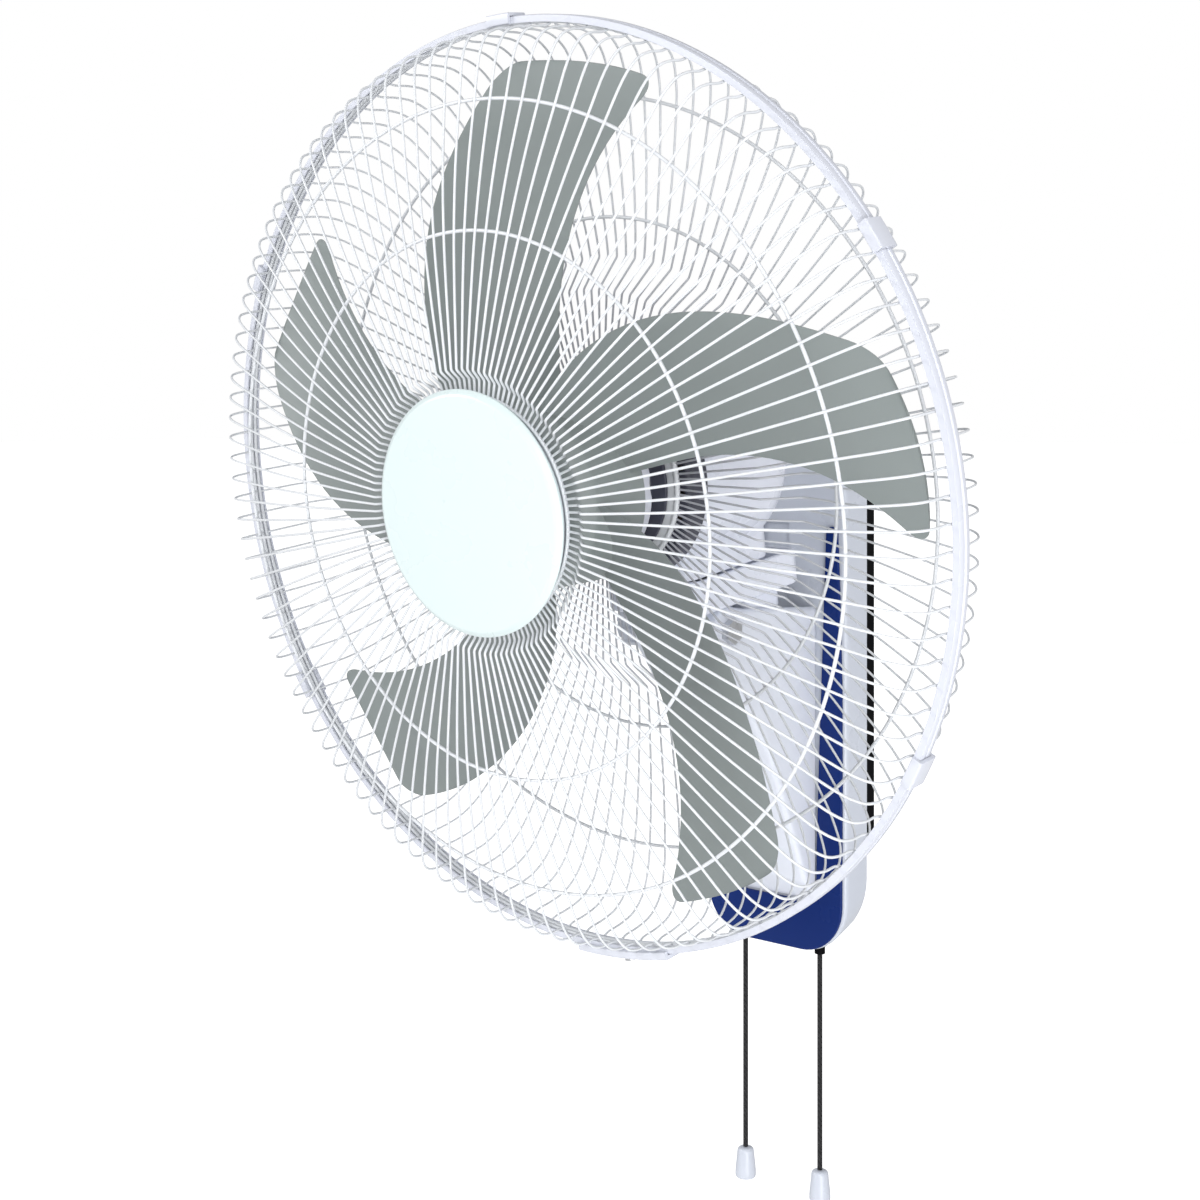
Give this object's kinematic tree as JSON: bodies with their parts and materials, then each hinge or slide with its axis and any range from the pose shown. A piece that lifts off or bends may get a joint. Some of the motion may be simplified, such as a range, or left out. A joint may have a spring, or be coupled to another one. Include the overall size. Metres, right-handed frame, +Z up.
{
  "type": "wall mounted fan",
  "caption": "Wall fan with a domed wire guard, curved blades, rear motor housing, swinging and tilting neck, slim trimmed wall base and pull cords.",
  "frame": {"origin": "centre of the wall plate's flat back face, on the wall", "axes": "+Z up, the fan blows towards -Y, the wall is the plane y = 0, +X is the fan's left as it looks into the room"},
  "size_m": [0.4826, 0.2986, 0.6631],
  "materials": {
    "white_shell": "smooth moulded plastic, white with a slight lavender cast",
    "white_rim": "smooth moulded plastic, white",
    "wire_white": "white powder-coated steel wire",
    "blade_grey": "glossy grey-green plastic",
    "blue_trim": "glossy dark blue plastic",
    "motor_grey": "satin grey plastic",
    "black_plate": "matte black plastic",
    "black_cord": "black braided cord",
    "steel": "plain zinc-plated steel",
    "winding": "laminated steel with varnished copper windings",
    "bronze": "sintered bronze"
  },
  "bodies": {
    "base": {"wall_plate": "black_plate", "back_shell": "white_shell", "trim_u": "blue_trim", "front_cover": "white_shell", "cover_screw_1": "steel", "cover_screw_2": "steel", "cover_screw_3": "steel", "cover_screw_4": "steel", "tilt_bolt": "steel", "speed_switch": "black_plate", "swing_switch": "black_plate", "speed_cord_guide": "black_plate", "swing_cord_guide": "black_plate", "cable_inlet": "black_plate", "capacitor": "black_plate", "terminal_block": "white_shell"},
    "neck": {"neck_bracket": "white_shell", "swing_pin": "steel", "swing_motor": "black_plate"},
    "head": {"rear_guard": "wire_white", "front_guard": "wire_white", "rim_band": "white_rim", "rim_clip_1": "white_rim", "rim_clip_2": "white_rim", "rim_clip_3": "white_rim", "rim_clip_4": "white_rim", "rim_clip_5": "white_rim", "rim_strap": "white_rim", "rim_screw": "steel", "badge": "white_rim", "badge_backing": "white_rim", "badge_screw": "steel", "motor_front_cover": "motor_grey", "guard_nut": "white_rim", "motor_housing": "white_shell", "stator": "winding", "front_bush": "bronze", "rear_bush": "bronze", "motor_bolt_1": "steel", "motor_bolt_2": "steel", "motor_bolt_3": "steel", "motor_bolt_4": "steel", "housing_screw_1": "steel", "housing_screw_2": "steel", "motor_bracket": "steel", "swing_bush": "bronze"},
    "rotor": {"impeller": "blade_grey", "blade_nut": "blade_grey", "motor_shaft": "steel", "rotor_core": "steel"},
    "crank": {"crank": "steel"},
    "link": {"swing_link": "steel"},
    "tilt_knob": {"tilt_knob": "white_shell"},
    "speed_pull": {"speed_pull_rod": "steel", "speed_cord": "black_cord", "speed_pull_knob": "white_rim"},
    "swing_pull": {"swing_pull_rod": "steel", "swing_cord": "black_cord", "swing_pull_knob": "white_rim"}
  },
  "joints": [
    {"name": "tilt", "type": "hinge", "parent": "base", "child": "neck", "pos_m": [0, -0.116, 0.023], "axis": [1, 0, 0], "range_deg": [-8, 12]},
    {"name": "head_swing", "type": "hinge", "parent": "neck", "child": "head", "pos_m": [0, -0.12897, 0.11592], "axis": [0, -0.1392, 0.9903], "range_deg": [-40, 40]},
    {"name": "blade_spin", "type": "hinge", "parent": "head", "child": "rotor", "pos_m": [0, -0.228, 0.102], "axis": [0, -0.9903, -0.1392], "continuous": true},
    {"name": "crank_turn", "type": "hinge", "parent": "neck", "child": "crank", "pos_m": [0.0086, -0.0792, 0.0492], "axis": [0, -0.1392, 0.9903], "range_deg": [-67, 67]},
    {"name": "link_turn", "type": "hinge", "parent": "crank", "child": "link", "pos_m": [0.024, -0.07976, 0.05316], "axis": [0, -0.1392, 0.9903], "range_deg": [-67, 67]},
    {"name": "tilt_knob_turn", "type": "hinge", "parent": "base", "child": "tilt_knob", "pos_m": [-0.036, -0.116, 0.023], "axis": [-1, 0, 0], "continuous": true},
    {"name": "speed_pull_slide", "type": "slide", "parent": "base", "child": "speed_pull", "axis": [0, 0, -1], "range_m": [0, 0.014], "stiffness_N_per_m": 150, "springref_m": -0.003},
    {"name": "swing_pull_slide", "type": "slide", "parent": "base", "child": "swing_pull", "axis": [0, 0, -1], "range_m": [0, 0.014], "stiffness_N_per_m": 150, "springref_m": -0.003}
  ],
  "couplings": [
    {"joint": "crank_turn", "follows": "head_swing", "ratio": 1.65},
    {"joint": "link_turn", "follows": "head_swing", "ratio": -1.65}
  ]
}
